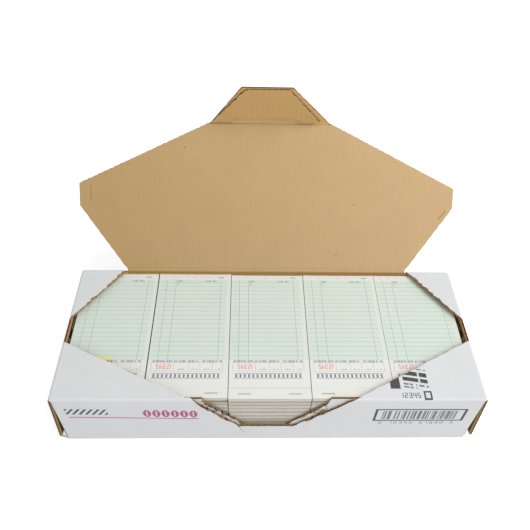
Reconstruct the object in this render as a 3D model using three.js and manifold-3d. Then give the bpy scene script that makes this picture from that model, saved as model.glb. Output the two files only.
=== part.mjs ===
// A carton of guest check pads: five stacks of ten stapled pads, in a white corrugated carton whose
// tear-out lid stands open. Millimetres, +Z up, +X along the carton, -Y towards its front.
// The origin is the centre of the underside.

import * as THREE from 'three';
import { mergeVertices } from 'three/addons/utils/BufferGeometryUtils.js';
import Module from 'manifold-3d';

const wasm = await Module();
wasm.setup();

// Pads
const padsAcross = 5;
const padsHigh = 10;
const padWidth = 88.9;
const padLength = 171.45;
const sheetsHeight = 6.8;
const backingHeight = 0.9;
const backingGap = 0.05;
const paperGap = 0.15;
const padGap = 0.6;
const stubLength = 12.7;
const perforationWidth = 0.5;
const perforationDepth = 0.25;
const leafHeight = 0.25;
const edgeGroove = 0.3;
const layerNeck = 1.2;
const unevenness = 0.8;
const unevenTurn = 2.3;

// Staples
const stapleCrown = 14;
const stapleFromSide = 17.4;
const stapleFromEdge = 5.6;
const stapleBentEnd = 4.6;
const wireSize = 0.5;
const wireOuterRadius = 0.75;
const wireInnerRadius = 0.25;
const wireClearance = 0.4;
const bentEndRecess = 0.6;
const stapleSeat = 0.05;

// Cutters reach this far past what they cut, and points closer than the tolerance are one
const cutterOver = 1;
const mergeTolerance = 1e-4;

// Carton
const board = 2.6;
const boardGap = 0.3;
const creaseGap = 0.25;
const endPlay = 1;
const frontPlay = 0.3;
const rearPlay = 1.4;
const headroom = 4.6;
const dustFlapsApart = 13.25;
const lowerFlapHeight = 42;
const upperFlapLength = 82.8;
const flapSplay = 6.2;
const groundGap = 0.4;

// Flutes, which lie open along the board's torn and cut edges
const linerThickness = 0.4;
const flutePitch = 6.5;
const fluteWall = 0.35;
const fluteDepth = 5;

// Tear lines. Left and right are the two ends of the carton, as seen from the front.
const hingeHalfLength = 174;
const tearRearOfEnd = 12.6;
const tearFrontOfLeftEnd = -16.4;
const tearFrontOfRightEnd = -13.8;
const tearFoldLeft = -82;
const tearFoldRight = 87;
const dipFloorLeft = -33.6;
const dipFloorRight = 26.5;
const dipDepth = 56.8;
const tearGap = 0.8;
const innerTearStep = 4;

// Lid
const lidFoldLeft = -69.3;
const lidFoldRight = 73;
const lidOpenAngle = 129.5;
const tabFoldAngle = 53;
const linerInset = 3;
const linerStart = 3.4;
const linerNotchHalfWidth = 35;
const linerNotchDepth = 6.5;
const linerNotchSlant = 5;

// Sizes that follow
const padHeight = backingHeight + sheetsHeight;
const padStep = padHeight + paperGap;
const padPitch = padWidth + padGap;
const stapleSpacing = padWidth - 2 * stapleFromSide;
const stackWidth = padsAcross * padWidth + (padsAcross - 1) * padGap;
const frontWall = 2 * board + boardGap;
const endWall = 2 * board + boardGap;
const halfWidth = stackWidth / 2 + endPlay + endWall;
const halfDepth = (frontWall + frontPlay + padLength + rearPlay + board) / 2;
const dustFlapLength = halfDepth - dustFlapsApart / 2;
const padsBase = board + boardGap;
const height = padsBase + padsHigh * padStep + headroom + board;
const padsFront = -halfDepth + frontWall + frontPlay;
const dustPlane = halfWidth - board - boardGap;
const dipFloor = height - dipDepth;

const colours = {
  white: 0xd9dbda, kraft: 0xc8a878, chipboard: 0x9c9484, paper: 0xe9e9e4, green: 0xd4e2d4, canary: 0xf0e68c,
  wire: 0xb4b6b8,
};

function finish(colour, roughness, metalness = 0) {
  return new THREE.MeshStandardMaterial({ color: colours[colour], roughness, metalness });
}

function part(name, geometry, material) {
  const mesh = new THREE.Mesh(geometry, material);
  mesh.name = name;
  return mesh;
}

// Boolean work: a geometry becomes a solid, and a solid a geometry again.
function solid(geometry) {
  const bare = geometry.clone();
  bare.deleteAttribute('normal');
  bare.deleteAttribute('uv');
  const merged = mergeVertices(bare, mergeTolerance);
  return new wasm.Manifold(new wasm.Mesh({
    numProp: 3,
    vertProperties: merged.attributes.position.array,
    triVerts: Uint32Array.from(merged.index.array),
  }));
}

function geometryOf(body) {
  const mesh = body.getMesh();
  const geometry = new THREE.BufferGeometry();
  geometry.setAttribute('position', new THREE.BufferAttribute(mesh.vertProperties, 3));
  geometry.setIndex(new THREE.BufferAttribute(mesh.triVerts, 1));
  return geometry;
}

function cut(geometry, cutters) {
  if (!cutters.length) return geometry;
  return geometryOf(wasm.Manifold.difference([geometry, ...cutters].map(solid)));
}

// A closed outline, given as points, drawn out to a depth.
function prism(outline, depth, curveSegments = 3) {
  const shape = outline instanceof THREE.Shape
    ? outline : new THREE.Shape(outline.map(([x, y]) => new THREE.Vector2(x, y)));
  return new THREE.ExtrudeGeometry(shape, { depth, bevelEnabled: false, curveSegments });
}

const axisX = new THREE.Vector3(1, 0, 0);
const axisY = new THREE.Vector3(0, 1, 0);
const axisZ = new THREE.Vector3(0, 0, 1);

// An outline of (y, z) points drawn out along X, centred on x = 0.
function prismAlongX(outline, width) {
  return prism(outline, width).translate(0, 0, -width / 2)
    .applyMatrix4(new THREE.Matrix4().makeBasis(axisY, axisZ, axisX));
}

// An outline of (x, z) points drawn out along Y, centred on y = 0.
function prismAlongY(outline, width) {
  return prism(outline, width).translate(0, 0, -width / 2)
    .applyMatrix4(new THREE.Matrix4().makeBasis(axisX, axisZ, axisY.clone().negate()));
}

function box(x0, x1, y0, y1, z0, z1) {
  return new THREE.BoxGeometry(x1 - x0, y1 - y0, z1 - z0)
    .translate((x0 + x1) / 2, (y0 + y1) / 2, (z0 + z1) / 2);
}

// A board panel drawn from outside, counter-clockwise: its outer face is at z = 0 and its thickness
// lies below. Each crease, from one point to the next, is mitred so that two folded panels meet.
function panel(outline, creases = [], flutes = []) {
  const flat = prism(outline, board).translate(0, 0, -board);
  return cut(flat, [...creases.map(([start, end]) => mitre(start, end)), ...flutes]);
}

function mitre([startX, startY], [endX, endY]) {
  const along = new THREE.Vector3(endX - startX, endY - startY, 0);
  const length = along.length();
  along.normalize();
  const inward = new THREE.Vector3(-along.y, along.x, 0);
  const profile = [
    [-cutterOver, -board - cutterOver], [creaseGap + board + cutterOver, -board - cutterOver],
    [creaseGap, 0], [creaseGap, cutterOver], [-cutterOver, cutterOver],
  ];
  const wedge = prism(profile, length + 2 * board).translate(0, 0, -board);
  const place = new THREE.Matrix4().makeBasis(inward, axisZ, along).setPosition(startX, startY, 0);
  return wedge.applyMatrix4(place);
}

// One open channel of a flat panel, running along Y into its edge: a triangle between one liner and
// the crest of the fluted paper at the other.
function flute(x, edgeY, inward, rise, underTop) {
  const half = flutePitch / 2 - fluteWall;
  const top = -linerThickness;
  const bottom = linerThickness - board;
  const [base, apex] = underTop ? [top, bottom + fluteWall] : [bottom, top - fluteWall];
  const outside = edgeY - inward * (cutterOver + half * rise);
  const inside = edgeY + inward * fluteDepth;
  return prismAlongY([[x - half, base], [x + half, base], [x, apex]], Math.abs(outside - inside))
    .translate(0, (outside + inside) / 2, 0);
}

// The channels along an edge, under the top liner and under the bottom one in turn. Near the ends,
// and where the panel is too shallow between the edge and its crease at creaseY, the board is crushed shut.
function flutesAlong([startX, startY], [endX, endY], inward, creaseY = Infinity) {
  const reach = flutePitch / 2;
  const slope = (endY - startY) / (endX - startX);
  const low = Math.min(startX, endX) + board + reach;
  const high = Math.max(startX, endX) - board - reach;
  const shallow = fluteDepth + reach * Math.abs(slope) + 2 * board;
  const channels = [];
  for (let i = Math.ceil(low / reach); i * reach <= high; i += 1) {
    const edgeY = startY + (i * reach - startX) * slope;
    if (Math.abs(edgeY - creaseY) > shallow) {
      channels.push(flute(i * reach, edgeY, inward, Math.abs(slope), i % 2 === 0));
    }
  }
  return channels;
}

// Ends of a rectangle, counter-clockwise from the lower left.
function rectangle(x0, x1, y0, y1) {
  return [[x0, y0], [x1, y0], [x1, y1], [x0, y1]];
}

const whiteBoard = finish('white', 0.75);
const kraftBoard = finish('kraft', 0.85);

// Turns a panel that was drawn flat so that its outer face looks along a wall's outward direction.
function standing(mesh, turnAboutZ, x, y) {
  mesh.rotation.set(Math.PI / 2, 0, turnAboutZ, 'ZYX');
  mesh.position.set(x, y, 0);
  return mesh;
}

// Carton bottom
function bottomPanel() {
  const front = -halfDepth + board + boardGap;
  const corners = rectangle(-halfWidth, halfWidth, -halfDepth, -front);
  const creases = corners.map((corner, i) => [corner, corners[(i + 1) % corners.length]]);
  const mesh = part('bottom_panel', panel(corners, creases), whiteBoard);
  mesh.rotation.x = Math.PI;
  return mesh;
}

// Rear wall, from the bottom's rear fold to the lid's hinge fold
function rearPanel() {
  const corners = rectangle(-dustPlane, dustPlane, 0, height);
  const creases = corners.map((corner, i) => [corner, corners[(i + 1) % corners.length]]);
  return standing(part('rear_panel', panel(corners, creases), whiteBoard), Math.PI, 0, halfDepth);
}

// Front wall: an outer board that hangs from the top and an inner one that stands on the bottom's
// front fold. Both are torn out in a dip where the tab was.
function frontPanelOuter() {
  const outline = [
    [-dustPlane, groundGap], [dustPlane, groundGap], [dustPlane, height], [tearFoldRight, height],
    [dipFloorRight, dipFloor], [dipFloorLeft, dipFloor], [tearFoldLeft, height], [-dustPlane, height],
  ];
  const creases = [[outline[1], outline[2]], [outline[2], outline[3]], [outline[6], outline[7]],
    [outline[7], outline[0]]];
  return standing(part('front_panel_outer', panel(outline, creases, dipFlutes(outline)), whiteBoard), 0, 0,
    -halfDepth);
}

// The dip's three edges are the outline's fourth to seventh points.
function dipFlutes(outline) {
  return [3, 4, 5].flatMap((i) => flutesAlong(outline[i], outline[i + 1], -1));
}

function frontPanelInner() {
  const end = stackWidth / 2 + endPlay - boardGap;
  const top = height - board - boardGap;
  const outline = [
    [-end, 0], [end, 0], [end, top], [tearFoldRight - innerTearStep, top],
    [dipFloorRight - innerTearStep, dipFloor], [dipFloorLeft + innerTearStep, dipFloor],
    [tearFoldLeft + innerTearStep, top], [-end, top],
  ];
  const geometry = panel(outline, [[outline[0], outline[1]]], dipFlutes(outline));
  const mesh = part('front_panel_inner', geometry, kraftBoard);
  return standing(mesh, 0, 0, -halfDepth + board + boardGap);
}

// What the tear left of the top: a triangle at each corner, folded from a wall and an end flap
function topCorner(name, side, end, foldX, endY) {
  const corners = [
    [side * halfWidth, end * halfDepth],
    [foldX + side * tearGap / 2, end * halfDepth],
    [side * halfWidth, endY + end * tearGap / 2],
  ];
  const outline = side * end > 0 ? corners : [corners[0], corners[2], corners[1]];
  const creases = [[outline[0], outline[1]], [outline[2], outline[0]]];
  const flutes = flutesAlong(corners[1], corners[2], end, end * halfDepth);
  const mesh = part(name, panel(outline, creases, flutes), whiteBoard);
  mesh.position.z = height;
  return mesh;
}

// End walls: dust flaps inside, a short flap up from the bottom, and a long one down from the top
// that springs outwards a little at its free edge.
function dustFlap(name, side, end) {
  const low = board + boardGap;
  const high = height - board - boardGap;
  const wall = end * halfDepth;
  const free = wall - end * dustFlapLength;
  const foldsRight = side * end > 0;
  const outline = rectangle(side * (foldsRight ? free : wall), side * (foldsRight ? wall : free), low, high);
  const crease = foldsRight ? [outline[1], outline[2]] : [outline[3], outline[0]];
  const mesh = part(name, panel(outline, [crease]), kraftBoard);
  return standing(mesh, side * Math.PI / 2, side * dustPlane, 0);
}

function lowerFlap(name, side) {
  const reach = halfDepth - board - boardGap;
  const outline = rectangle(-reach, reach, 0, lowerFlapHeight);
  const mesh = part(name, panel(outline, [[outline[0], outline[1]]]), whiteBoard);
  return standing(mesh, side * Math.PI / 2, side * halfWidth, 0);
}

function upperFlap(name, side) {
  const reach = halfDepth - boardGap;
  const outline = rectangle(-reach, reach, -upperFlapLength, 0);
  const flutes = [-1, 1].flatMap((edge) => flutesAlong([-upperFlapLength, edge * reach], [0, edge * reach], -edge));
  flutes.forEach((channel) => channel.rotateZ(Math.PI / 2));
  const mesh = part(name, panel(outline, [[outline[2], outline[3]]], flutes), whiteBoard);
  mesh.rotation.set(Math.PI / 2 - Math.asin(flapSplay / upperFlapLength), 0, side * Math.PI / 2, 'ZYX');
  mesh.position.set(side * halfWidth, 0, height);
  return mesh;
}

function carton() {
  const group = new THREE.Group();
  group.add(bottomPanel(), rearPanel(), frontPanelOuter(), frontPanelInner());
  group.add(topCorner('top_front_left_corner', -1, -1, tearFoldLeft, tearFrontOfLeftEnd));
  group.add(topCorner('top_front_right_corner', 1, -1, tearFoldRight, tearFrontOfRightEnd));
  group.add(topCorner('top_rear_left_corner', -1, 1, -hingeHalfLength, tearRearOfEnd));
  group.add(topCorner('top_rear_right_corner', 1, 1, hingeHalfLength, tearRearOfEnd));
  for (const [word, side] of [['left', -1], ['right', 1]]) {
    group.add(dustFlap(`${word}_front_dust_flap`, side, -1));
    group.add(dustFlap(`${word}_rear_dust_flap`, side, 1));
    group.add(lowerFlap(`${word}_lower_flap`, side));
    group.add(upperFlap(`${word}_upper_flap`, side));
  }
  return group;
}

// Lid: the torn-out middle of the top, drawn closed from its hinge fold at y = 0 towards the front.
function lid() {
  const depth = 2 * halfDepth;
  const endX = halfWidth - tearGap;
  const rearY = tearRearOfEnd - halfDepth - tearGap;
  const frontLeftY = tearFrontOfLeftEnd - halfDepth + tearGap;
  const frontRightY = tearFrontOfRightEnd - halfDepth + tearGap;
  const hinge = hingeHalfLength - tearGap;
  const outline = [
    [-endX, rearY], [-endX, frontLeftY], [lidFoldLeft, -depth], [lidFoldRight, -depth],
    [endX, frontRightY], [endX, rearY], [hinge, 0], [-hinge, 0],
  ];
  const creases = [[0, 1], [2, 3], [4, 5], [6, 7]].map(([from, to]) => [outline[from], outline[to]]);
  const group = new THREE.Group();
  const flutes = [[1, 2, 1], [3, 4, 1], [5, 6, -1], [7, 0, -1]]
    .flatMap(([from, to, inward]) => flutesAlong(outline[from], outline[to], inward));
  group.add(part('lid_panel', panel(outline, creases, flutes), kraftBoard));
  group.add(lidTab(depth));
  group.position.set(0, halfDepth, height);
  group.rotation.x = THREE.MathUtils.degToRad(-lidOpenAngle);
  return group;
}

// Tab: the flap torn out of the outer front board, with a piece of the inner board glued inside it.
// Drawn flat, in line with the lid, from the fold at y = 0.
function lidTab(lidDepth) {
  const tip = -dipDepth + tearGap;
  const left = dipFloorLeft + tearGap;
  const right = dipFloorRight - tearGap;
  const outline = [[lidFoldLeft, 0], [left, tip], [right, tip], [lidFoldRight, 0]];
  const group = new THREE.Group();
  const flutes = [0, 1, 2].flatMap((i) => flutesAlong(outline[i], outline[i + 1], 1, 0));
  group.add(part('lid_tab', panel(outline, [[outline[3], outline[0]]], flutes), kraftBoard));

  const notchMiddle = (dipFloorLeft + dipFloorRight) / 2;
  const notchLeft = notchMiddle - linerNotchHalfWidth;
  const notchRight = notchMiddle + linerNotchHalfWidth;
  const notchY = -linerStart - linerNotchDepth;
  const liner = [
    [lidFoldLeft + linerInset + linerStart, -linerStart],
    [left + innerTearStep, tip], [right - innerTearStep, tip],
    [lidFoldRight - linerInset - linerStart, -linerStart],
    [notchRight + linerNotchSlant, -linerStart], [notchRight, notchY],
    [notchLeft, notchY], [notchLeft - linerNotchSlant, -linerStart],
  ];
  const linerFlutes = [0, 1, 2].flatMap((i) => flutesAlong(liner[i], liner[i + 1], 1, notchY));
  const mesh = part('lid_tab_liner', panel(liner, [], linerFlutes), kraftBoard);
  mesh.position.z = -board - boardGap;
  group.add(mesh);
  group.position.y = -lidDepth;
  group.rotation.x = THREE.MathUtils.degToRad(tabFoldAngle);
  return group;
}

// Staple: flattened wire bent down through the pad and turned in under the backing. Its outline is
// drawn in x and z over the pad's underside.
function stapleOutline(top) {
  const half = wireSize / 2;
  const leg = stapleCrown / 2;
  const tip = leg - stapleBentEnd;
  const low = bentEndRecess - stapleSeat - wireSize;
  const high = top + stapleSeat + wireSize;
  const outer = leg + half - wireOuterRadius;
  const inner = leg - half - wireInnerRadius;
  const shape = new THREE.Shape();
  shape.moveTo(-tip, low);
  shape.absarc(-outer, low + wireOuterRadius, wireOuterRadius, -Math.PI / 2, -Math.PI, true);
  shape.absarc(-outer, high - wireOuterRadius, wireOuterRadius, Math.PI, Math.PI / 2, true);
  shape.absarc(outer, high - wireOuterRadius, wireOuterRadius, Math.PI / 2, 0, true);
  shape.absarc(outer, low + wireOuterRadius, wireOuterRadius, 0, -Math.PI / 2, true);
  shape.lineTo(tip, low);
  shape.lineTo(tip, low + wireSize);
  shape.absarc(inner, low + wireSize + wireInnerRadius, wireInnerRadius, -Math.PI / 2, 0, false);
  shape.absarc(inner, high - wireSize - wireInnerRadius, wireInnerRadius, 0, Math.PI / 2, false);
  shape.absarc(-inner, high - wireSize - wireInnerRadius, wireInnerRadius, Math.PI / 2, Math.PI, false);
  shape.absarc(-inner, low + wireSize + wireInnerRadius, wireInnerRadius, Math.PI, 1.5 * Math.PI, false);
  shape.lineTo(-tip, low + wireSize);
  return shape;
}

// Holes for the four legs, and the dents that the bent ends press into the backing
function stapleHoles() {
  const reach = wireSize / 2 + wireClearance;
  return [-1, 1].flatMap((side) => {
    const middle = side * stapleSpacing / 2;
    const legs = [-1, 1].map((leg) => {
      const x = middle + leg * stapleCrown / 2;
      return box(x - reach, x + reach, stapleFromEdge - reach, stapleFromEdge + reach, -cutterOver,
        padHeight + cutterOver);
    });
    const half = stapleCrown / 2 + reach;
    const dent = box(middle - half, middle + half, stapleFromEdge - reach, stapleFromEdge + reach,
      -cutterOver, bentEndRecess);
    return [...legs, dent];
  });
}

// Paper of a top pad, in section from its front edge backwards: the perforation's crease, and a step
// down behind it where loose leaves lie on top.
function sheetsProfile(leafDrop) {
  const low = backingHeight;
  const groove = perforationWidth / 2;
  return [
    [0, low], [padLength, low], [padLength, padHeight - leafDrop],
    [stubLength + groove, padHeight - leafDrop],
    [stubLength, padHeight - leafDrop - perforationDepth],
    [stubLength - groove, leafDrop ? padHeight - leafDrop - perforationDepth : padHeight],
    ...(leafDrop ? [[stubLength - groove, padHeight]] : []),
    [0, padHeight],
  ];
}

const white = finish('paper', 0.7);
const green = finish('green', 0.7);
const canary = finish('canary', 0.7);
const chipboard = finish('chipboard', 0.9);
const wire = finish('wire', 0.35, 1);

// One whole pad: backing, paper and two staples, centred on x = 0 with its front edge at y = 0
function topPad(name, leafDrop) {
  const group = new THREE.Group();
  const holes = stapleHoles();
  const half = padWidth / 2;
  const backing = box(-half, half, 0, padLength, 0, backingHeight - backingGap);
  group.add(part(`${name}_backing_board`, cut(backing, holes), chipboard));
  group.add(part(`${name}_sheets`, cut(prismAlongX(sheetsProfile(leafDrop), padWidth), holes), white));
  for (const [word, side] of [['left', -1], ['right', 1]]) {
    const staple = part(`${name}_${word}_staple`, prismAlongY(stapleOutline(padHeight), wireSize), wire);
    staple.position.set(side * stapleSpacing / 2, stapleFromEdge, 0);
    group.add(staple);
  }
  return group;
}

// The two leaves of the top check, hinged along the perforation. The hinge line is the group's
// origin, level with the top of the upper leaf.
function looseLeaves(name) {
  const group = new THREE.Group();
  const half = padWidth / 2;
  const rear = padLength - stubLength;
  const leaves = [['check_leaf', green], ['duplicate_leaf', canary]];
  leaves.forEach(([word, material], i) => {
    const top = -i * (leafHeight + paperGap);
    const leaf = box(-half, half, perforationWidth, rear, top - leafHeight, top);
    group.add(part(`${name}_${word}`, leaf, material));
  });
  group.position.set(0, stubLength, padHeight);
  return group;
}

const leafDrop = 2 * (leafHeight + paperGap);

// How far a pad of a stack lies back from the stack's front line: packed pads are a little uneven.
function unevenFront(pad) {
  return unevenness * (0.5 + 0.5 * Math.sin(unevenTurn * pad));
}

// Lower pads as one body, in section: each has a groove over its backing and a neck to the next pad.
function lowerPadsProfile(first, count) {
  const front = [];
  const rear = [];
  for (let i = first; i < first + count; i += 1) {
    const base = (i - first) * padStep;
    const shift = unevenFront(i);
    const steps = [
      [0, base], [0, base + backingHeight - edgeGroove / 2], [edgeGroove, base + backingHeight - edgeGroove / 2],
      [edgeGroove, base + backingHeight + edgeGroove / 2], [0, base + backingHeight + edgeGroove / 2],
      [0, base + padHeight],
    ];
    if (i < first + count - 1) {
      steps.push([layerNeck, base + padHeight], [layerNeck, base + padStep]);
    }
    front.push(...steps.map(([inset, z]) => [inset + shift, z]));
    rear.push(...steps.map(([inset, z]) => [padLength - inset + shift, z]));
  }
  return [...rear, ...front.reverse()];
}

function padStacks() {
  const group = new THREE.Group();
  const centre = (padsAcross - 1) / 2;
  const lower = padsHigh - 1;
  for (let i = 0; i < padsAcross; i += 1) {
    const stack = new THREE.Group();
    stack.position.set((i - centre) * padPitch, padsFront, padsBase);
    const word = i === centre ? 'centre' : `stack_${i + 1}`;
    const top = topPad(`${word}_top_pad`, i === centre ? leafDrop : 0);
    top.position.z = lower * padStep;
    if (i === centre) {
      top.add(looseLeaves('centre'));
      for (let k = 0; k < lower; k += 1) {
        const pad = part(`centre_pad_${k + 1}`, prismAlongX(lowerPadsProfile(k, 1), padWidth), white);
        pad.position.z = k * padStep;
        stack.add(pad);
      }
    } else {
      stack.add(part(`${word}_lower_pads`, prismAlongX(lowerPadsProfile(0, lower), padWidth), white));
    }
    stack.add(top);
    group.add(stack);
  }
  return group;
}

const model = new THREE.Group();
model.add(carton(), lid(), padStacks());

export default model;
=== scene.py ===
# A carton of guest check pads with its tear-out lid standing open. Shapes are worked out in
# millimetres, in the frame's own axes: +X along the carton, -Y towards its front, +Z up. Some shade of
# the photograph is painted on, and each place where it is says so.
from functools import reduce
import bpy
import numpy as np
from mathutils import Matrix, Vector


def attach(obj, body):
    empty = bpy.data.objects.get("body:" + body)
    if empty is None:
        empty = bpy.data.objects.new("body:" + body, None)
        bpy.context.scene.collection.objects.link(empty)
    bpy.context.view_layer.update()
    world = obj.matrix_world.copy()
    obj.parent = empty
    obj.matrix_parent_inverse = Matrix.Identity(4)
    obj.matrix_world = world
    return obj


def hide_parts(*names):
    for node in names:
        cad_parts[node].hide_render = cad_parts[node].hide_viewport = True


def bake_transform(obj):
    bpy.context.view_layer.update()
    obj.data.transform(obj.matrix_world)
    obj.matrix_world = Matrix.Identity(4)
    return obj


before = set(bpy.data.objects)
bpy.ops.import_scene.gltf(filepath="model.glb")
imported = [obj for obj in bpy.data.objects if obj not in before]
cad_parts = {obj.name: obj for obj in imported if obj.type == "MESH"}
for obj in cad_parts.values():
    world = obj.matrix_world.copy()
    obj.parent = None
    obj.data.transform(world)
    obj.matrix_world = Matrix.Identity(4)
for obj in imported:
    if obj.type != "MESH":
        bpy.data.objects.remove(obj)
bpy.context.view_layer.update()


# Carton bottom and rear wall: corrugated board, white outside and plain kraft inside. One blank is
# creased and folded up at the rear; its fluted core shows wherever the board is cut or torn.
board, liner, flute_pitch = 2.6, 0.4, 6.5
board_gap = 0.3
tear_step, edge_step, wall_step = 0.8, 0.9, 9  # of the grid: along a tear, to a free edge, down a wall
half_width, half_depth, height = 229.95, 90.625, 88.6
fold_radius = 3.2
fold_arc = fold_radius * np.pi / 2
end_reach = half_width - fold_radius
wall_top = height - fold_radius


def shade(red, green, blue):
    """A colour read as 0 to 255 per channel, as the linear numbers that a shader takes."""
    channel = np.array([red, green, blue]) / 255
    linear = np.where(channel < 0.04045, channel / 12.92, ((channel + 0.055) / 1.055) ** 2.4)
    return (*linear.tolist(), 1.0)


def adds(operation):
    """An operator between a wire and another value that adds one Math node."""
    return lambda self, other: self.math(operation, self, other)


class Wire:
    """A value on its way through a finish. Python's operators on it add Math nodes."""

    def __init__(self, paint, socket):
        self.paint, self.socket = paint, socket

    def math(self, operation, *values):
        return self.paint.node("ShaderNodeMath", {"operation": operation}, values)

    __add__ = __radd__ = adds("ADD")
    __mul__ = __rmul__ = adds("MULTIPLY")
    __sub__, __truediv__, __mod__ = adds("SUBTRACT"), adds("DIVIDE"), adds("FLOORED_MODULO")
    __gt__, __lt__ = adds("GREATER_THAN"), adds("LESS_THAN")

    def __rsub__(self, other):
        return self.math("SUBTRACT", other, self)

    def __abs__(self):
        return self.math("ABSOLUTE", self)

    def between(self, low, high):
        """1 from low to high, 0 outside."""
        return (self > low) * (self < high)

    def either(self, other):
        """The larger of two masks, so that overlapping marks stay one mark."""
        return self.math("MAXIMUM", self, other)

    def line(self, at, width):
        """1 within half a width of one place."""
        return abs(self - at) < width / 2

    def lines(self, first, pitch, width):
        """1 within half a width of each line at first + k * pitch."""
        return ((self - first + pitch / 2) % pitch).line(pitch / 2, width)

    def ramp(self, low, high, first=0.0, last=1.0):
        """Straight from the first value at low to the last at high, and level beyond them."""
        return self.paint.node("ShaderNodeMapRange", {}, (self, low, high, first, last))

    def wave(self, pitch):
        """A sine of this pitch, from 0 to 1."""
        return self.math("SINE", self * (2 * np.pi / pitch)) * 0.5 + 0.5

    def chance(self, size, seed):
        """A random number for each cell of this size, the same all over a cell."""
        cell = self.math("FLOOR", self / size) + seed
        return self.paint.node("ShaderNodeTexWhiteNoise", {"noise_dimensions": "1D"}, {"W": cell})


class Paint:
    """A finish: one Principled shader, and a method that adds any other node to it."""

    def __init__(self, name, roughness, **sockets):
        self.material = bpy.data.materials.new(name)
        self.material.use_nodes = True
        self.tree = self.material.node_tree
        self.shader = self.tree.nodes["Principled BSDF"]
        self.plug(self.shader, {"Roughness": roughness, **sockets})
        where = self.node("ShaderNodeTexCoord", output=3)
        self.place = self.node("ShaderNodeVectorMath", {"operation": "SCALE"}, {0: where, "Scale": 1000.0})
        self.x, self.y, self.z = (self.node("ShaderNodeSeparateXYZ", {}, (self.place,), i) for i in range(3))

    def plug(self, node, values):
        for key, value in values.items() if isinstance(values, dict) else enumerate(values):
            if isinstance(value, Wire):
                self.tree.links.new(value.socket, node.inputs[key])
            else:
                node.inputs[key].default_value = value

    def node(self, kind, settings={}, values=(), output=0):
        node = self.tree.nodes.new(kind)
        for key, value in settings.items():
            setattr(node, key, value)
        self.plug(node, values)
        return Wire(self, node.outputs[output])

    def mix(self, one, other, share):
        """The first colour at share 0, the other at share 1."""
        return self.node("ShaderNodeMix", {"data_type": "RGBA"}, {0: share, 6: one, 7: other}, 2)

    def noise(self, size, detail=2.0, stretch=(1, 1, 1)):
        """Soft noise from 0 to 1 with spots about this many millimetres across, longer where stretched."""
        scale = tuple(1 / (size * part) for part in stretch)
        there = self.tinted(self.place, scale)
        return self.node("ShaderNodeTexNoise", {}, {"Vector": there, "Scale": 1.0, "Detail": detail})

    def relief(self, rise, strength=0.5, reach=0.2):
        """Bumps as high as rise times reach, in millimetres."""
        bump = self.node("ShaderNodeBump", {}, {"Strength": strength, "Distance": reach / 1000, "Height": rise})
        self.plug(self.shader, {"Normal": bump})

    def tinted(self, colour, tint):
        return self.node("ShaderNodeVectorMath", {"operation": "MULTIPLY"}, (colour, tint))

    def done(self, colour, stain=None, share=None):
        """The material, in this colour; where share is given, with a stain of another over it."""
        self.plug(self.shader, {"Base Color": self.mix(colour, stain, share) if share else colour})
        return self.material


def board_face(name, colour, flute_axis, fleck, washboard=0.012):
    """Paper face of the board: fibres, faint clouds, and the flutes telegraphing through as soft
    stripes square to flute_axis, as bumps and as painted shade of their ridges in the colour.
    Returns the finish and its colour so far."""
    paint = Paint(name, 0.8, **{"Specular IOR Level": 0.25})
    stripe = (paint.x, paint.y, paint.z)[flute_axis].wave(flute_pitch)
    fibre = paint.noise(0.9, 3.0, (1, 1, 2.5))
    cloud, mottle = paint.noise(38, 2.0), paint.noise(3.2, 3.0)
    # The stripe's share of this colour is painted shade of the flute ridges; fibre, cloud and mottle are the paper's
    # own tone.
    light = (stripe - 0.5) * washboard + (fibre - 0.5) * fleck + (cloud - 0.5) * 0.16 + 0.5
    light = light + (mottle - 0.5) * (fleck * 0.4)
    dark, pale = (tuple(channel * part for channel in colour[:3]) + (1.0,) for part in (0.72, 1.28))
    paint.relief(stripe * (washboard * 5) + fibre * 0.3, 0.35, 0.12)
    return paint, paint.mix(dark, pale, light)


def plain_board(*settings):
    """The same face with nothing drawn on it."""
    paint, colour = board_face(*settings)
    return paint.done(colour)


kraft_tone = shade(190, 158, 112)
white_tone = shade(212, 214, 215)
plain_white = plain_board("white board", white_tone, 0, 0.1)
kraft_inside = plain_board("kraft inside", kraft_tone, 0, 0.35, 0.03)
core_paper = plain_board("fluted core", shade(150, 116, 70), 0, 0.6)
# Painted shade: scraps in this dark finish stand where the open flutes of a tear lie in shade.
flute_shadow = plain_board("dark ends of the flutes", shade(46, 32, 16), 0, 0.5)
paint, colour = board_face("torn brown fibre", shade(152, 114, 62), 0, 0.9)
brown_fibre = paint.done(colour, shade(214, 206, 190), (paint.noise(1.1, 3.0) > 0.6) * 0.6)


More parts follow.
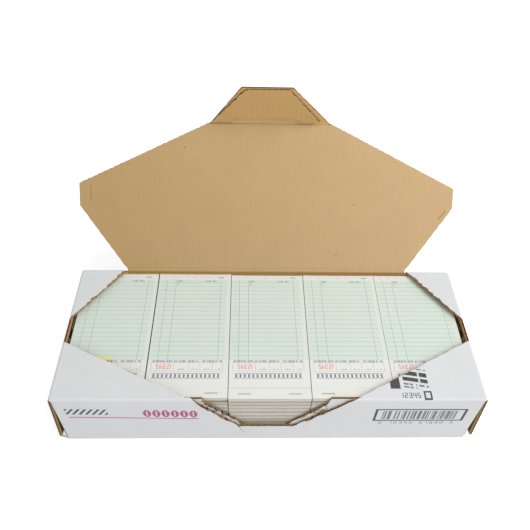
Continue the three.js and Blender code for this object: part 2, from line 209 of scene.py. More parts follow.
def fold_path(plane, corners, radii, inside=(0, 40), steps=8):
    """Outer face of a folded board in section, in the plane named by two axes. It runs straight
    between the corners and rounds each inner one with an arc: centre + radius * (cos, sin). Its
    normals point away from a place inside, as a rule the middle of the carton. Returns its points
    and normals, the length along it, and the axis it is drawn out on."""
    corners = np.asarray(corners, float)
    ways = np.diff(corners, axis=0)
    ways /= np.linalg.norm(ways, axis=1, keepdims=True)
    lefts = np.stack([-ways[:, 1], ways[:, 0]], 1)
    points, normals = [corners[:1]], [lefts[:1]]
    for k, radius in enumerate(radii):
        turn = np.arctan2(ways[k, 0] * ways[k + 1, 1] - ways[k, 1] * ways[k + 1, 0], ways[k] @ ways[k + 1])
        start = corners[k + 1] - radius * np.tan(abs(turn) / 2) * ways[k]
        centre = start + np.sign(turn) * radius * lefts[k]
        swing = np.linspace(0, turn, steps + 1)
        spin = np.array([[np.cos(swing), np.sin(swing)], [-np.sin(swing), np.cos(swing)]])
        points.append(centre + np.einsum("i,ijk->kj", start - centre, spin))
        normals.append(np.einsum("i,ijk->kj", lefts[k], spin))
    points = np.concatenate([*points, corners[-1:]])
    normals = np.concatenate([*normals, lefts[-1:]])
    if (points[0] - inside) @ normals[0] < 0:
        normals = -normals
    lengths = np.concatenate([[0], np.cumsum(np.linalg.norm(np.diff(points, axis=0), axis=1))])
    axes = ["XYZ".index(letter) for letter in plane]
    spread = np.zeros((2, len(points), 3))
    spread[0][:, axes], spread[1][:, axes] = points, normals
    return spread[0], spread[1], lengths, 3 - sum(axes)


def closed(points, faces):
    """Merges points that coincide, drops the faces that vanish, and turns the rest outwards."""
    _, keep, new = np.unique(np.round(points, 4), axis=0, return_index=True, return_inverse=True)
    points, faces = points[keep], new.reshape(-1)[faces]
    same = faces == np.roll(faces, -1, axis=1)
    quads = faces[same.sum(1) == 0]
    quads = quads[(quads[:, 0] != quads[:, 2]) & (quads[:, 1] != quads[:, 3])]
    thirds = [np.delete(faces[(same.sum(1) == 1) & same[:, k]], k, axis=1) for k in range(4)]
    triangles = np.concatenate(thirds)
    triangles = triangles[(triangles[:, 0] != triangles[:, 2])]
    fans = np.concatenate([quads[:, :3], quads[:, [0, 2, 3]], triangles])
    volume = np.einsum("ij,ij->i", points[fans[:, 0]], np.cross(points[fans[:, 1]], points[fans[:, 2]])).sum()
    step = 1 if volume > 0 else -1
    return points, quads[:, ::step].tolist() + triangles[:, ::step].tolist()


def shell(upper, lower):
    """A closed body between two grids of points: their faces, and a wall along all four borders."""
    rows, columns = upper.shape[:2]
    top = np.arange(rows * columns).reshape(rows, columns)
    low = top + rows * columns

    def patch(grid):
        return np.stack([grid[:-1, :-1], grid[1:, :-1], grid[1:, 1:], grid[:-1, 1:]], -1).reshape(-1, 4)

    walls = [np.stack(pair) for pair in ((low[:, 0], top[:, 0]), (top[:, -1], low[:, -1]))]
    ends = [np.stack(pair) for pair in ((top[0], low[0]), (low[-1], top[-1]))]
    faces = [patch(top), patch(low)[:, ::-1], *(patch(wall)[:, ::-1] for wall in walls),
             *(patch(end)[:, ::-1] for end in ends)]
    points = np.concatenate([upper.reshape(-1, 3), lower.reshape(-1, 3)])
    return closed(points, np.concatenate(faces))


def skin(path, across, along, low, high, top, bottom):
    """A layer of the board between two depths under its outer face. A point is
    across + path(v) - depth * normal(v), with v = along, kept from low to high."""
    points, normals, lengths, axis = path
    v = np.clip(along[None, :], np.broadcast_to(low, across.shape)[:, None],
                np.broadcast_to(high, across.shape)[:, None])
    on = [np.stack([np.interp(v, lengths, table[:, i]) for i in range(3)], -1) for table in (points, normals)]
    on[0][..., axis] = across[:, None]
    faces = []
    for depth in (top, bottom):
        depth = depth(across[:, None], v) if callable(depth) else depth
        faces.append(on[0] - np.broadcast_to(depth, v.shape)[..., None] * on[1])
    return shell(*faces)


def ragged(at, reach, seed, step=1.7):
    """The teeth of a tear: straight lines between random heights, one for each step along at."""
    knots = np.arange(at.min() - step, at.max() + 2 * step, step)
    return np.interp(at, knots, np.random.default_rng(seed).uniform(-reach, reach, len(knots)))


def core(phase):
    """Upper and lower depth of the fluted paper: the middle of the board, plus a sine of phase."""
    middle, swing, half = board / 2, board / 2 - liner - 0.1, 0.1
    return [lambda a, v, side=side: middle + swing * np.sin(phase(a, v) * 2 * np.pi / flute_pitch) + side * half
            for side in (-1, 1)]


def layered(path, across, rows, low, high, flutes, faces, seed, ends=(0, 1), rough=1.0, shift=0.0, proud=0.35):
    """The board between two edges, as four layers: white skin, its brown fibre, fluted paper, liner.
    ends says how the low and the high edge are made: 1 torn, 0 cut square, -1 creased and mitred.
    A tear runs back by rough * (own share + teeth + scallops), where scallops are
    depth * (0.5 - |sin(pi * flutes / pitch)|), so that every flute shows as a bump, and it stands
    out past its line by proud at most."""
    white, inside = faces
    skin_depth = 0.14
    layers = ((0, skin_depth, 0.5, 1.0, 2.9, 0.2, white), (skin_depth, liner, 0.0, 0.8, 1.9, 0.9, brown_fibre),
              (*core(flutes), 1.7, 0.6, 1.7, 3.6, core_paper), (board - liner, board, 0.3, 0.8, 2.1, 1.5, inside))
    parts = []
    for k, (top, bottom, back, teeth, step, depth, material) in enumerate(layers):
        edges = []
        for line, made, inwards, batch in ((low, ends[0], 1, 50), (high, ends[1], -1, 0)):
            bump = depth * (0.5 - np.abs(np.sin(np.pi * flutes(across, line) / flute_pitch)))
            rip = np.maximum(rough * (back + bump + ragged(across, teeth, seed + k + batch, step)), -proud)
            mitre = (0.07, 0.27, 2.15, 2.4)[k]
            edges.append(line + inwards * (np.maximum(made, 0) * rip + np.maximum(-made, 0) * mitre))
        depths = [(lambda a, v, d=d: shift + (d(a, v) if callable(d) else d)) for d in (top, bottom)]
        parts.append((skin(path, across, rows, edges[0], np.maximum(edges[1], edges[0]), *depths), material))
    return parts


def shreds(spots, reach, seed, within=(-1e3, 1e3)):
    """Curled scraps of torn paper: tapered ribbons on the given spots, each turned and bent its own way.
    A point is spot + length * (t along, t^2 curling over) + half width * (1 - 0.6 t) * side, and its
    y stays within two limits."""
    rng = np.random.default_rng(seed)
    t = np.linspace(0, 1, 6)[:, None, None]
    side = np.array([-1, 1])[None, :, None]
    scraps = []
    for spot in np.asarray(spots, float):
        way, turn = rng.normal(size=3), rng.normal(size=3)
        way[2] = abs(way[2]) + 0.5
        way /= np.linalg.norm(way)
        across = np.cross(way, turn)
        across /= np.linalg.norm(across)
        over = np.cross(across, way)
        length = reach * rng.uniform(0.6, 1.2)
        ribbon = spot + length * (t * way + 0.5 * t ** 2 * over) + 0.34 * reach * (1 - 0.6 * t) * side * across
        ribbon[..., 1] = np.clip(ribbon[..., 1], *within)
        scraps.append(shell(ribbon + 0.08 * over, ribbon - 0.08 * over))
    return scraps


def piece(name, parts, body, stands_for=(), sharp=32):
    """One mesh from parts, each (points in millimetres, faces) and its material."""
    mesh = bpy.data.meshes.new(name)
    starts = np.cumsum([0] + [len(points) for (points, _), _ in parts])
    corners = [[int(i + start) for i in face] for ((_, faces), _), start in zip(parts, starts) for face in faces]
    mesh.from_pydata(np.concatenate([points for (points, _), _ in parts]) / 1000, [], corners)
    materials = list(dict.fromkeys(material for _, material in parts))
    for material in materials:
        mesh.materials.append(material)
    index = np.repeat([materials.index(material) for _, material in parts], [len(f) for (_, f), _ in parts])
    mesh.polygons.foreach_set("material_index", index.astype(np.int32))
    mesh.polygons.foreach_set("use_smooth", np.ones(len(index), bool))
    mesh.set_sharp_from_angle(angle=np.radians(sharp))
    obj = bpy.data.objects.new(name, mesh)
    bpy.context.scene.collection.objects.link(obj)
    if body:
        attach(obj, body)
    if stands_for:
        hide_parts(*stands_for)
    return obj


def run(low, high, step):
    """Evenly spread values from low to high, at most step apart."""
    return np.linspace(low, high, int(np.ceil((high - low) / step)) + 1)


hinge_end = 174
inner_front = half_depth - board - board_gap
inner_foot, inner_top = 6, 85.7
front_bend, rear_bend = 2.6, 3.4
base_path = fold_path("YZ", [(-inner_front, inner_foot), (-inner_front, 0), (half_depth, 0), (half_depth, wall_top)],
                      [front_bend, rear_bend])
wide = run(-end_reach, end_reach, 24)
whole = base_path[2][-1]
hinge_path = fold_path("YZ", [(half_depth, wall_top), (half_depth, height)], [])
hinge_across = run(-hinge_end, hinge_end, 1.5)
rear_path = fold_path("YZ", [(half_depth, wall_top), (half_depth, height), (0, height)], [fold_radius])
along_x = lambda a, v: a
white_out = (plain_white, kraft_inside)
parts = [
    (skin(base_path, wide, base_path[2], 0, whole, 0, liner), plain_white),
    (skin(base_path, wide, base_path[2], 0, whole, liner, board), kraft_inside),
    *layered(hinge_path, hinge_across, hinge_path[2], 0, fold_radius, along_x, white_out, 1, (0, -1)),
]
for side in (-1, 1):
    across = run(hinge_end, end_reach, tear_step)
    torn = np.interp(across, [hinge_end + 1.5, hinge_end + 2.3, hinge_end + 5], [0.2, fold_arc - 1, fold_arc + 3])
    parts += layered(rear_path, side * across, rear_path[2][:-1], 0, torn, along_x, white_out, 5 + side)
piece("carton_bottom_and_rear", parts, "carton", ("bottom_panel", "rear_panel"))


# Inner front board: the blank's front edge, folded up inside the outer front. Its white side faces
# forwards, and it is torn a little lower than the outer one, so a step of white paper shows.
dip_floor = 31.8
inner_path = fold_path("YZ", [(-inner_front, inner_foot), (-inner_front, inner_top)], [])
across = run(-224.15, 224.15, tear_step)
inner_tear = ([-71.5, -69.5, -25.5, 18.5, 61.5, 64.5], [87, 75, 26.2, 26.2, 74, 87])
torn = np.interp(across, *inner_tear) - inner_foot
rows = run(0, inner_top - inner_foot, wall_step)
near_dip = ((across > inner_tear[0][0]) & (across < inner_tear[0][-1])).astype(float)
rip = np.interp(across, [-72, -66, -30, -22, 16, 24, 50, 62], [1.6, 2.8, 2.6, 0.6, 0.6, 2.2, 3.0, 1.4])
piece("inner_front_board", layered(inner_path, across, rows, 0, torn, along_x, white_out, 11, (0, near_dip), rip,
                                   proud=1.0), "carton", ("front_panel_inner",))


# Outer front board: it hangs from the top's front fold and is torn out in a dip where the lid's tab
# was. White outside, printed in magenta and black ink; the flutes stand upright in it.
front_foot = 0.4
fold_line, front_dip = wall_top - front_foot, dip_floor - front_foot
front_top = fold_line + fold_arc
front_path = fold_path("YZ", [(-half_depth, front_foot), (-half_depth, height), (0, height)], [fold_radius])
front_across = run(-end_reach, end_reach, tear_step)
half_round = [front_top, fold_line + fold_arc / 2, fold_line, front_dip]
front_torn = np.interp(front_across, [-91, -82, -78.2, -33.6, 26.5, 82.2, 87, 95.4], half_round + half_round[::-1])
# The tear lies 1.2 mm under the solid's line on the dip's floor, and more on its two slopes.
front_torn -= np.interp(front_across, [-84, -76, -38, -30, 24, 31, 76, 92], [0, 4.6, 3.4, 1.2, 1.2, 3.4, 4.4, 0])
in_dip = ((front_across > -92) & (front_across < 96)).astype(float)
front_rows = np.concatenate([run(0, fold_line, wall_step), front_path[2][2:-1]])

magenta, black_ink = shade(170, 62, 112), shade(26, 26, 29)


def digits(u, v, first, pitch, size, numbers):
    """Plain numbers as seven bars each. u and v run with the writing; blank cells are spaces. Bar k
    is on in cell i where floor(code[k] / 2^i) is odd."""
    lit = {"0": "abcdef", "1": "bc", "2": "abged", "3": "abgcd", "4": "fgbc", "5": "afgcd", "6": "afgedc",
           "7": "abc", "8": "abcdefg", "9": "abcdfg", " ": ""}
    bars = {"a": (0.1, 0.9, 0.86, 1), "b": (0.72, 1, 0.5, 0.98), "c": (0.72, 1, 0.02, 0.5), "d": (0.1, 0.9, 0, 0.14),
            "e": (0, 0.28, 0.02, 0.5), "f": (0, 0.28, 0.5, 0.98), "g": (0.1, 0.9, 0.43, 0.57)}
    cell = (u - first) / pitch
    index = cell.math("FLOOR", cell)
    p, q = (cell - index) * (pitch / size[0]), v / size[1]
    marks = []
    for bar, (left, right, low, high) in bars.items():
        code = float(sum(2 ** i for i, number in enumerate(numbers) if bar in lit[number]))
        on = cell.math("FLOOR", cell.math("DIVIDE", code, cell.math("POWER", 2.0, index))) % 2
        marks.append(on * p.between(left, right) * q.between(low, high))
    return reduce(Wire.either, marks) * cell.between(0, len(numbers))


def corner_marks(paint):
    """Black marks on the top's right front corner: a plain block, rows of dashes, a row of plain
    numbers and a small frame. They run a little way down the front fold."""
    x, y = paint.x, paint.y
    level = y + (x - 155) * 0.16
    block = x.between(128.4, 139) * y.between(-77.2, -62)
    thick = level.between(-61.6, -56.4).either(level.between(-68.8, -64.2))
    thin = level.between(-73.8, -71.6).either(level.between(-77.4, -75.4) * (x < 159))
    thin = thin.either(level.between(-53.2, -51.6))
    rows = x.between(143, 169.5) * (thick * (x.chance(1.9, 7) > 0.22)).either(thin * (x.chance(1.1, 4) > 0.25) * 0.8)
    numbers = digits(x, y + 88.2, 137, 4.6, (3.5, 6.2), "12345")
    frame_out = x.between(162.4, 171) * y.between(-90, -80)
    frame_in = x.between(164.2, 169.2) * y.between(-88.2, -81.8)
    return block.either(rows).either(numbers * 0.9).either(frame_out * (1 - frame_in))


def printed_front():
    """White face with a magenta rule under a row of lozenges, slanted black bars, and a framed row of
    bars over plain numbers. Two brown cracks run down from the lower corners of the torn dip."""
    paint, colour = board_face("printed white board", white_tone, 0, 0.1)
    x, z = paint.x, paint.z
    level = z + (x + 146) * 0.0274
    rule = x.between(-215.8, -76.4) * level.between(49.4, 51.2)
    step = (x + 135.5) % 9.85
    wide, tall = abs(step - 4.3) / 4.3, abs(level - 60.6) / 7.6
    lozenge = (wide < 1) * (tall < 1) * (wide + tall < 1.36)
    stem = step.between(3.6, 5.0) * level.between(55.4, 65.8)
    pink = rule.either(x.between(-135.5, -76.8) * lozenge * (1 - stem))
    slant = (x + 218 - (level - 57) * 0.7) % 6.9
    bar = x.between(-217.4, -172.5) * level.between(56.6, 68.4) * slant.between(0, 2.9)
    frame_out = x.between(114.2, 214.6) * z.between(42.4, 69)
    frame_in = x.between(117, 211.6) * z.between(44.6, 66.8)
    stripes = x.between(123, 205) * z.between(46.4, 65) * (x.chance(0.92, 31) > 0.45)
    numbers = digits(x, z - 35.6, 121.5, 5.75, (3.4, 4.8), "0 12345 67890 5")
    black = bar.either(frame_out * (1 - frame_in)).either(stripes * 0.8).either(numbers * 0.75)
    black = black.either(corner_marks(paint) * (z > 80))
    rub = paint.noise(2.2, 4.0) * 0.2 + 0.78
    colour = paint.mix(colour, magenta, pink * rub)
    crack = (abs(x + 34.1 - (30.3 - z) * 0.453) < 0.45) * z.between(16.6, 31)
    crack = crack.either((abs(x - 38.9 - (z - 28.6) * 0.284) < 0.4) * z.between(28.6, 37) * 0.35)
    colour = paint.mix(colour, shade(150, 112, 62), crack * 0.75)
    return paint.done(colour, black_ink, black * rub)


# Curled scraps stand along the tear, most of them at its right shoulder. The open ends of the flutes are no holes but
# dark scraps, one beside each flute, with fibres hanging over them; these dark scraps, and a few more along the tear,
# are painted shade.
spots = np.array([(-66, -88.2, 72), (-59, -88.2, 62), (-51, -88.2, 53), (-45, -88.2, 44), (-37, -88.6, 33),
                  (-33, -88.6, 28.6), (-27, -88.6, 28.8), (-20, -88.8, 28.6), (26, -88.6, 28.6), (30, -88.6, 28.8),
                  (41, -88.4, 36), (47, -88.6, 45), (51, -88.6, 52), (55, -88.6, 56), (59, -88.4, 61), (62, -88, 66)])
clump = [(52, -89, 56), (54, -89.2, 60), (56, -88.8, 58), (57, -89.2, 62), (59, -89, 60), (61, -89, 63),
         (58, -88.6, 56)]
upper = [(61, -86.6, 74), (62, -86.4, 77), (63, -86.6, 79), (64, -86.2, 76), (65, -86.4, 79)]
holes = np.array([(-72, -87.6, 80), (-59, -87.6, 61), (-52, -87.6, 50), (-70.5, -89.6, 72.5), (-60, -89.6, 60.5),
                  (-45, -89.6, 42), (55, -89, 59), (57, -89, 61), (60, -89.4, 58), (53, -89, 55), (62, -87, 73)])
flute_x = np.array([-73, -66.5, -60, -53.5, -47, -40.5, 33.5, 40, 46.5, 53, 59.5, 66.0])
outer_z = np.interp(flute_x, front_across, front_torn)
inner_z = np.interp(flute_x, *inner_tear)


def beside(x, y, z):
    """Places side by side, one for each x, all at the same y."""
    return np.stack(np.broadcast_arrays(x, y, z), 1)


holes = np.concatenate([holes, beside(flute_x, -89.4, outer_z - 0.6),
                        beside(flute_x + 2, -87.2, inner_z - 2.6)[1:-1]])
fibres = beside(flute_x + 2, -90.1, outer_z - 3.0)[[1, 2, 3, 4, 5, 7, 8, 9]]
edges, back_edges = (-90.3, -85.5), (-87.7, -85.5)
scraps = [(scrap, (brown_fibre, kraft_inside)[k % 2])
          for k, scrap in enumerate(shreds(spots, 2.0, 77, edges) + shreds(np.repeat(clump, 2, 0), 2.7, 78, edges)
                                    + shreds(np.repeat(upper, 2, 0), 2.7, 80, back_edges)
                                    + shreds(np.repeat(fibres, 3, 0), 4.2, 83, edges))]
scraps += [(scrap, flute_shadow) for scrap in shreds(holes, 3.2, 79, edges)]

# The slopes are torn more roughly than the dip's floor, and in three places a tongue of the white
# skin stands over the tear.
front_rip = np.interp(front_across, [-91, -79, -74, -44, -36, -22, 18, 28, 40, 50, 62, 68, 95],
                      [0.3, 0.3, 1.7, 1.7, 0.7, 0.45, 0.45, 0.7, 1.6, 1.8, 1.4, 0.5, 0.4])
outer_face = printed_front()
tongue = np.interp(front_across, [-91, -88, -79, -76, -45, -42, -36, -34, 31, 33, 38, 41],
                   [0, 2.0, 2.2, 0, 0, 2.4, 2.2, 0, 0, 2.0, 2.0, 0])
tongue_root = front_torn - 2.0 * (tongue > 0)
overhang = skin(front_path, front_across, front_rows, tongue_root, front_torn + tongue, -0.03, 0.11)
piece("outer_front_board", scraps + [(overhang, outer_face)]
      + layered(front_path, front_across, front_rows, 0, front_torn, along_x, (outer_face, kraft_inside), 21,
                (0, in_dip), front_rip, proud=1.1), "carton", ("front_panel_outer",))


# Ends of the carton: on each, a long flap hangs from the top, glued over a short one, and springs out
# a little at its free edge. The same board runs on over the fold into the torn corners of the top.
flap_length, flap_splay = 82.8, 6.2
flap_reach = half_depth - board_gap
flap_drop = flap_length * np.cos(np.arcsin(flap_splay / flap_length))
corner_limit = half_depth - fold_radius
# The dark stain is painted shade, no glue, and makes the slots beside the pads as dark as in the photograph.
paint, colour = board_face("kraft inside the ends", kraft_tone, 1, 0.35)
kraft_end = paint.done(colour, shade(48, 34, 18), (abs(paint.y) < 87.4) * (paint.z < 80) * 0.85)


def printed_top():
    """White face of the top's corners; the right front one has a black bar and rows printed on it."""
    paint, colour = board_face("printed white top", white_tone, 0, 0.1)
    rub = paint.noise(2.2, 4.0) * 0.2 + 0.8
    return paint.done(colour, black_ink, corner_marks(paint) * rub)


white_end = plain_board("white board of the ends", white_tone, 1, 0.1)
white_top = printed_top()
along_v = lambda a, v: v


def octant(side, end, outer, inner):
    """Rounded corner where the front or rear fold meets an end fold: an eighth of a ball's shell."""
    turn, lift = np.meshgrid(np.linspace(0, np.pi / 2, 9), np.linspace(0, np.pi / 2, 9), indexing="ij")
    ray = np.stack([side * np.cos(turn) * np.cos(lift), end * np.sin(turn) * np.cos(lift), np.sin(lift)], -1)
    centre = np.array([side * end_reach, end * corner_limit, wall_top])
    return shell(centre + outer * ray, centre + inner * ray)


for side, word, tears in ((-1, "left", [(-16.4, -82), (12.6, -174)]), (1, "right", [(-13.8, 87), (12.6, 174)])):
    foot = (side * (half_width + flap_splay), height - flap_drop)
    end_path = fold_path("XZ", [foot, (side * half_width, height), (0, height)], [fold_radius])
    lengths = end_path[2]
    fold_start, fold_end = lengths[1], lengths[-2]
    across = run(-flap_reach, flap_reach, 2.5)
    flap_rows = run(0, fold_start, edge_step)
    parts = layered(end_path, across, flap_rows, 0, fold_start, along_v, (white_end, kraft_end), 30, (0, 0))
    across = run(-corner_limit, corner_limit, tear_step)
    (front_y, front_x), (rear_y, rear_x) = tears
    reach_front = np.interp(across, [-half_depth, front_y - 0.4], [half_width - abs(front_x) - 0.4, 0])
    reach_rear = np.interp(across, [rear_y + 0.4, half_depth], [0, half_width - abs(rear_x) - 0.4])
    reach = np.maximum(reach_front, reach_rear)
    round_part = fold_radius * np.arccos(1 - np.minimum(reach / fold_radius, 1))
    torn = fold_start + np.maximum(round_part + np.maximum(reach - fold_radius, 0), 0.05)
    fold_rows = np.concatenate([lengths[1:-1], run(fold_end, torn.max(), edge_step)])
    parts += layered(end_path, across, fold_rows, fold_start, torn, along_v, (white_top, kraft_end),
                     40 + 9 * side, (0, 1), np.interp(across, [-60, 35, 50, 88], [0.7, 1.0, 2.2, 2.8]))
    for end in (-1, 1):
        parts.append((octant(side, end, fold_radius, fold_radius - liner), white_top))
        parts.append((octant(side, end, fold_radius - liner, fold_radius - board), kraft_end))
    piece(f"{word}_end_and_top_corners", parts, "carton",
          (f"{word}_upper_flap", f"top_front_{word}_corner", f"top_rear_{word}_corner"))


# Short flaps up from the bottom, and the dust flaps that turn in from the front and rear walls behind
# them. All are the same board, scored on the inside at their folds.
lower_height, low_fold, dust_plane, dust_length = 42, 3.0, 227.05, 84.0
# Their dark upper part is painted: it is the shade that lies in the slots beside the pads.
paint, colour = board_face("kraft inside the flaps", kraft_tone, 1, 0.35)
upright_kraft = paint.done(colour, shade(70, 50, 26), (paint.z > 70) * 0.75)
# Painted shade: the grey of this white face, and the dark brown with a ragged edge above about 9.5 mm, are the shade
# in the narrow gap behind the splayed end flap.
paint, colour = board_face("glued face of the short flaps", shade(176, 180, 180), 1, 0.1)
gap_shade = paint.z + paint.noise(3) * 4 > 9.5
glued_face = paint.done(colour, shade(96, 70, 38), gap_shade * 0.92)


def flap(path, across, outer, seed):
    """A flap cut square at its edges, with closer rows on its way to the free one."""
    lengths = path[2]
    rows = np.concatenate([lengths[:-1], run(lengths[-2], lengths[-1], edge_step)])
    return layered(path, across, rows, 0, lengths[-1], along_v, (outer, upright_kraft), seed, (0, 0))


for side, word in ((-1, "left"), (1, "right")):
    path = fold_path("XZ", [(side * end_reach, 0), (side * half_width, 0), (side * half_width, lower_height)],
                     [fold_radius - 0.01])
    parts = flap(path, run(-inner_front, inner_front, 20), glued_face, 7)
    if side < 0:
        lip = np.array([[(-235.4, -89.6, 8.2), (-234.6, -89.8, 4.6)], [(-231, -89.9, 7.4), (-230.6, -90, 2.6)],
                        [(-227.4, -90.2, 4.6), (-227.2, -90.2, 0.5)]])
        parts.append((shell(lip, lip + (0, 0.3, 0)), glued_face))
    piece(f"{word}_short_flap", parts, "carton", (f"{word}_lower_flap",))
    for end, wall in ((-1, "front"), (1, "rear")):
        free = end * (half_depth - dust_length)
        path = fold_path("XY", [(side * end_reach, end * half_depth), (side * dust_plane, end * half_depth),
                                (side * dust_plane, free)], [dust_plane - end_reach - 0.01], (0, 0))
        flap_top = 83.8 if (side, end) == (1, -1) else 78.5
        piece(f"{word}_{wall}_turned_flap", flap(path, run(2.9, flap_top, 20), plain_white, 8), "carton",
              (f"{word}_{wall}_dust_flap",))


# Lid: the middle of the top, torn out along perforations and folded back on its rear crease. We look
# at its plain kraft side, where the flutes show through as faint upright stripes.
lid_angle, tab_angle = np.radians(129.5), np.radians(53)
lid_depth = 2 * half_depth
lid_way = np.array([-np.cos(lid_angle), np.sin(lid_angle)])
lid_foot = np.array([half_depth, height])
lid_crown = lid_foot + lid_depth * lid_way
behind = (half_depth - 40, 300)


def lid_face():
    """Kraft with small dark specks and two short marks near its sides. It pales from left to right and
    upwards, which is the light of the photograph, painted on."""
    paint, colour = board_face("kraft of the lid", shade(191, 159, 114), 0, 0.5, 0.035)
    x, z = paint.x, paint.z
    colour = paint.tinted(colour, paint.mix((0.86, 0.86, 0.81, 1), (1.03, 1.07, 1.16, 1), x.ramp(-190.0, 190.0)))
    colour = paint.tinted(colour, paint.mix((0.985, 0.98, 0.965, 1), (1.03, 1.025, 1.01, 1), z.ramp(95.0, 225.0)))
    dark = (paint.noise(1.3, 2.0) > 0.735) * 0.5
    for at, up, size in ((-101.8, 206.1, 0.9), (106.3, 153.9, 0.8), (85.7, 105.8, 0.8)):
        dark = dark.either(((x - at) * (x - at) + (z - up) * (z - up) < size * size) * 0.7)
    nick = (abs(z - 141.3 - (x - 212.1) * 0.82) < 0.7) * x.between(212, 221)
    bend = (abs(x + 215.4) < 0.8) * z.between(156, 170) * 0.3
    return paint.done(colour, shade(112, 80, 44), dark.either(nick * 0.6).either(bend))


lid_kraft = lid_face()

lid_path = fold_path("YZ", [lid_foot, lid_crown], [], behind)
lid_reach, crease_reach, crease_gap = 229.15, 173.2, 0.3
lid_top = lid_depth - crease_gap
tab_left, tab_right = -69.3, 73
across = run(-lid_reach, lid_reach, tear_step)
lid_start = np.interp(abs(across), [crease_reach, lid_reach], [crease_gap, 78.8])
lid_end = np.interp(across, [-lid_reach, tab_left, tab_right, lid_reach], [106.2, lid_top, lid_top, 103.6])
lid_rows = run(0, lid_depth, wall_step)
past_mitre = 1.6
on_crease = np.abs(across) < crease_reach + past_mitre
on_fold = (across > tab_left - past_mitre) & (across < tab_right + past_mitre)
made = [np.where(mask, -1.0, 1.0) for mask in (on_crease, on_fold)]
piece("torn_lid", layered(lid_path, across, lid_rows, lid_start, lid_end, along_x, (plain_white, lid_kraft), 60, made,
                          0.45), "lid", ("lid_panel",))


def crease(name, reach, low, high, ways, bend, finishes):
    """Paper of the kraft side across a fold: a thin strip from one board's face to the other's that
    swings about the fold, its two halves in two finishes. A point is
    low + (high - low) * t + 4 * bend * ways * t * (1 - t)."""
    t = np.linspace(0, 1, 9)[None, :, None]
    low, high, ways = (np.array([0, *pair], float) for pair in (low, high, ways))
    x = run(*reach, 4)[:, None, None] * np.array([1.0, 0, 0])
    face = x + low + (high - low) * t + bend * ways * 4 * t * (1 - t)
    halves = zip((face[:, :5], face[:, 4:]), finishes)
    halves = [(shell(half, half - 0.35 * ways), finish) for half, finish in halves]
    obj = piece(name, halves, None)
    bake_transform(obj)


# Painted shade: this dark kraft runs along the lid's crease, where the rear wall's inner face lies in shade.
fold_kraft = plain_board("crushed kraft of the creases", shade(166, 124, 62), 0, 0.5)
strip_depth, strip_run, strip_way = board - 0.02, 2.5, np.array([-0.95, 0.3])
lid_in = np.array([-lid_way[1], lid_way[0]])
wall_lip = np.array([half_depth - strip_depth, height - 4.6])
lid_lip = lid_foot + strip_run * lid_way + strip_depth * lid_in
crease("lid_crease", (-crease_reach, crease_reach), wall_lip, lid_lip, strip_way, 1.3,
       (fold_kraft, lid_kraft))


# Tab of the lid: torn out of the outer front board, bent at the top's front fold. Glued inside it is
# the piece of the inner front board that tore away with it, with a stepped lower edge.
tab_turn = lid_angle - tab_angle
tab_way = np.array([-np.cos(tab_turn), np.sin(tab_turn)])
tab_length = 56
tab_path = fold_path("YZ", [lid_crown, lid_crown + tab_length * tab_way], [], behind)
tab_rows = run(0, tab_length, 5)
tab_kraft = plain_board("kraft of the tab", shade(199, 162, 105), 0, 0.5, 0.05)
# The inner layer starts higher between two steps. The dark line that runs along its lower edge there
# is the shadow of the photograph, painted on the kraft behind it.
steps, low_start, high_start = (-43.55, -38.55, 31.45, 36.45), 4.6, 10.6
# Painted light: this kraft is paler than the rest of the tab's kraft, to stand against the shade that the inner layer
# throws on it.
paint, colour = board_face("kraft behind the inner layer", shade(212, 173, 116), 0, 0.5, 0.05)
notch = paint.x.ramp(*steps[:2]) * paint.x.ramp(*steps[2:], 1.0, 0.0)
up_tab = (paint.z - float(lid_crown[1])) * float(1 / tab_way[1])
under_edge = (up_tab - notch * (high_start - low_start)).line(2.0, 1.6) * (notch > 0.02)
shaded_kraft = paint.done(colour, shade(122, 82, 34), under_edge * 0.65)
across = run(tab_left, tab_right, tear_step)
tab_end = np.interp(across, [tab_left, -32.8, 25.7, tab_right], [crease_gap, tab_length, tab_length, crease_gap])
tab_rip = np.where((across > -32) & (across < 25), 0.05, 0.5)
piece("torn_tab", layered(tab_path, across, tab_rows, 0.0, tab_end, along_x, (plain_white, shaded_kraft), 80,
                          (-1, 1), tab_rip), "lid_tab", ("lid_tab",))

across = run(-68, 61.5, tear_step)
liner_start = np.interp(across, steps, [low_start, high_start, high_start, low_start])
liner_end = np.interp(across, [-68, -33, -26, 21.7, 61.5], [5, 50, tab_length, tab_length, 5])
on_slope = np.where((across > -26) & (across < 21.7), 0.0, 1.0)
tab_in = np.array([-tab_way[1], tab_way[0]])
bits = [(x, *(lid_crown + v * tab_way + 1.9 * tab_in)) for x, v in
        ((-51, 28), (-49, 30), (-52, 26), (-50, 29), (46, 32), (45, 33), (44, 31), (61, 7), (60, 9), (62, 5))]
bits = [(bit, (plain_white, tab_kraft)[k % 3 // 2]) for k, bit in enumerate(shreds(bits, 1.7, 81))]
layer = layered(tab_path, across, tab_rows, liner_start, np.maximum(liner_end, liner_start + 0.4), along_x,
                (brown_fibre, tab_kraft), 90, (0.4, on_slope), 1.1, board + 0.05)
piece("torn_tab_inner_layer", bits + layer, "lid_tab", ("lid_tab_liner",))

crease("tab_crease", (-68.5, 72.2), lid_crown - strip_run * lid_way + strip_depth * lid_in,
       lid_crown + strip_run * tab_way + strip_depth * tab_in, strip_way, -0.3, (lid_kraft, shaded_kraft))


